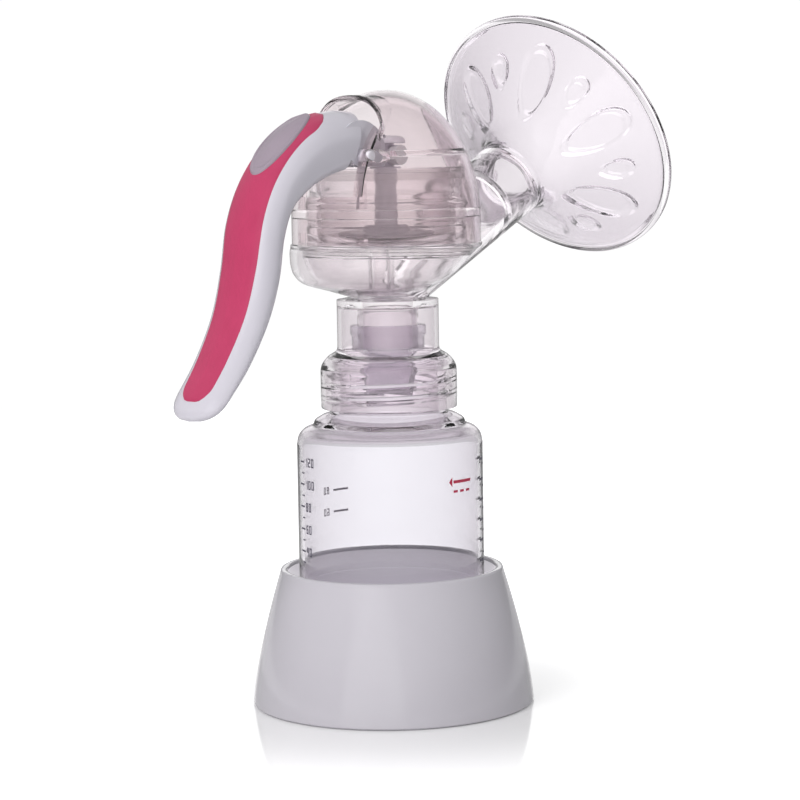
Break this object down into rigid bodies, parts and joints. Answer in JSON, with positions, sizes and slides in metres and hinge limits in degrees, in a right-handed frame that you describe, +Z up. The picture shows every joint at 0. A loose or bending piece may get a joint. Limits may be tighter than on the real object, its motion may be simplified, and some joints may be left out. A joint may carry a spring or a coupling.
{
  "type": "breast pump",
  "caption": "Hand-lever breast pump standing in a bottle stand, with a clear domed cover, a slanted shield and a soft petal cushion.",
  "frame": {"origin": "centre of the stand's foot, on the surface that it stands on", "axes": "+Z up, +X towards the breast shield, -X towards the handle; the XZ plane is the plane of symmetry"},
  "size_m": [0.1815, 0.084, 0.2038],
  "materials": {
    "stand_plastic": "gloss",
    "clear_plastic": "clear gloss",
    "tinted_plastic": "clear gloss, slight tint",
    "silicone": "translucent satin",
    "white_silicone": "satin",
    "rod_plastic": "gloss",
    "handle_plastic": "gloss",
    "soft_grip": "soft satin",
    "badge_plastic": "satin"
  },
  "bodies": {
    "stand": {"stand": "stand_plastic", "stand_core": "stand_plastic"},
    "bottle": {"bottle": "clear_plastic"},
    "neck seal": {"neck_seal": "silicone"},
    "pump body": {"pump_body": "clear_plastic", "duckbill_valve": "white_silicone", "vacuum_cup": "clear_plastic", "cup_seal": "silicone", "diaphragm": "silicone", "breast_shield": "clear_plastic"},
    "cover": {"dome_cover": "tinted_plastic", "pivot_pin": "rod_plastic"},
    "handle": {"handle_shell": "handle_plastic", "handle_back": "handle_plastic", "grip_inlay": "soft_grip", "badge": "badge_plastic"},
    "rod": {"pull_rod": "rod_plastic", "diaphragm_plate": "rod_plastic"},
    "cushion": {"massage_cushion": "silicone"}
  },
  "joints": [
    {"name": "bottle_lift", "type": "slide", "parent": "stand", "child": "bottle", "axis": [0, 0, 1], "range_m": [0, 0.045]},
    {"name": "pump_lift", "type": "slide", "parent": "bottle", "child": "neck seal", "axis": [0, 0, 1], "range_m": [0, 0.0055]},
    {"name": "pump_unscrew", "type": "hinge", "parent": "neck seal", "child": "pump body", "pos_m": [0, 0, 0.095], "axis": [0, 0, 1], "range_deg": [0, 540]},
    {"name": "cover_swivel", "type": "hinge", "parent": "pump body", "child": "cover", "pos_m": [0, 0, 0.14], "axis": [0, 0, 1], "range_deg": [-90, 90]},
    {"name": "handle_squeeze", "type": "hinge", "parent": "cover", "child": "handle", "pos_m": [-0.019, 0, 0.162], "axis": [0, -1, 0], "range_deg": [0, 25], "stiffness_Nm_per_rad": 0.4},
    {"name": "rod_lift", "type": "slide", "parent": "pump body", "child": "rod", "axis": [0, 0, 1], "range_m": [0, 0.0083], "deforming": ["diaphragm"]},
    {"name": "cushion_pull", "type": "slide", "parent": "pump body", "child": "cushion", "axis": [0.8746, 0, 0.4848], "range_m": [0, 0.035]}
  ],
  "couplings": [
    {"joint": "rod_lift", "follows": "handle_squeeze", "m_per_rad": 0.0184},
    {"joint": "pump_lift", "follows": "pump_unscrew", "m_per_rad": 0.00057296}
  ]
}
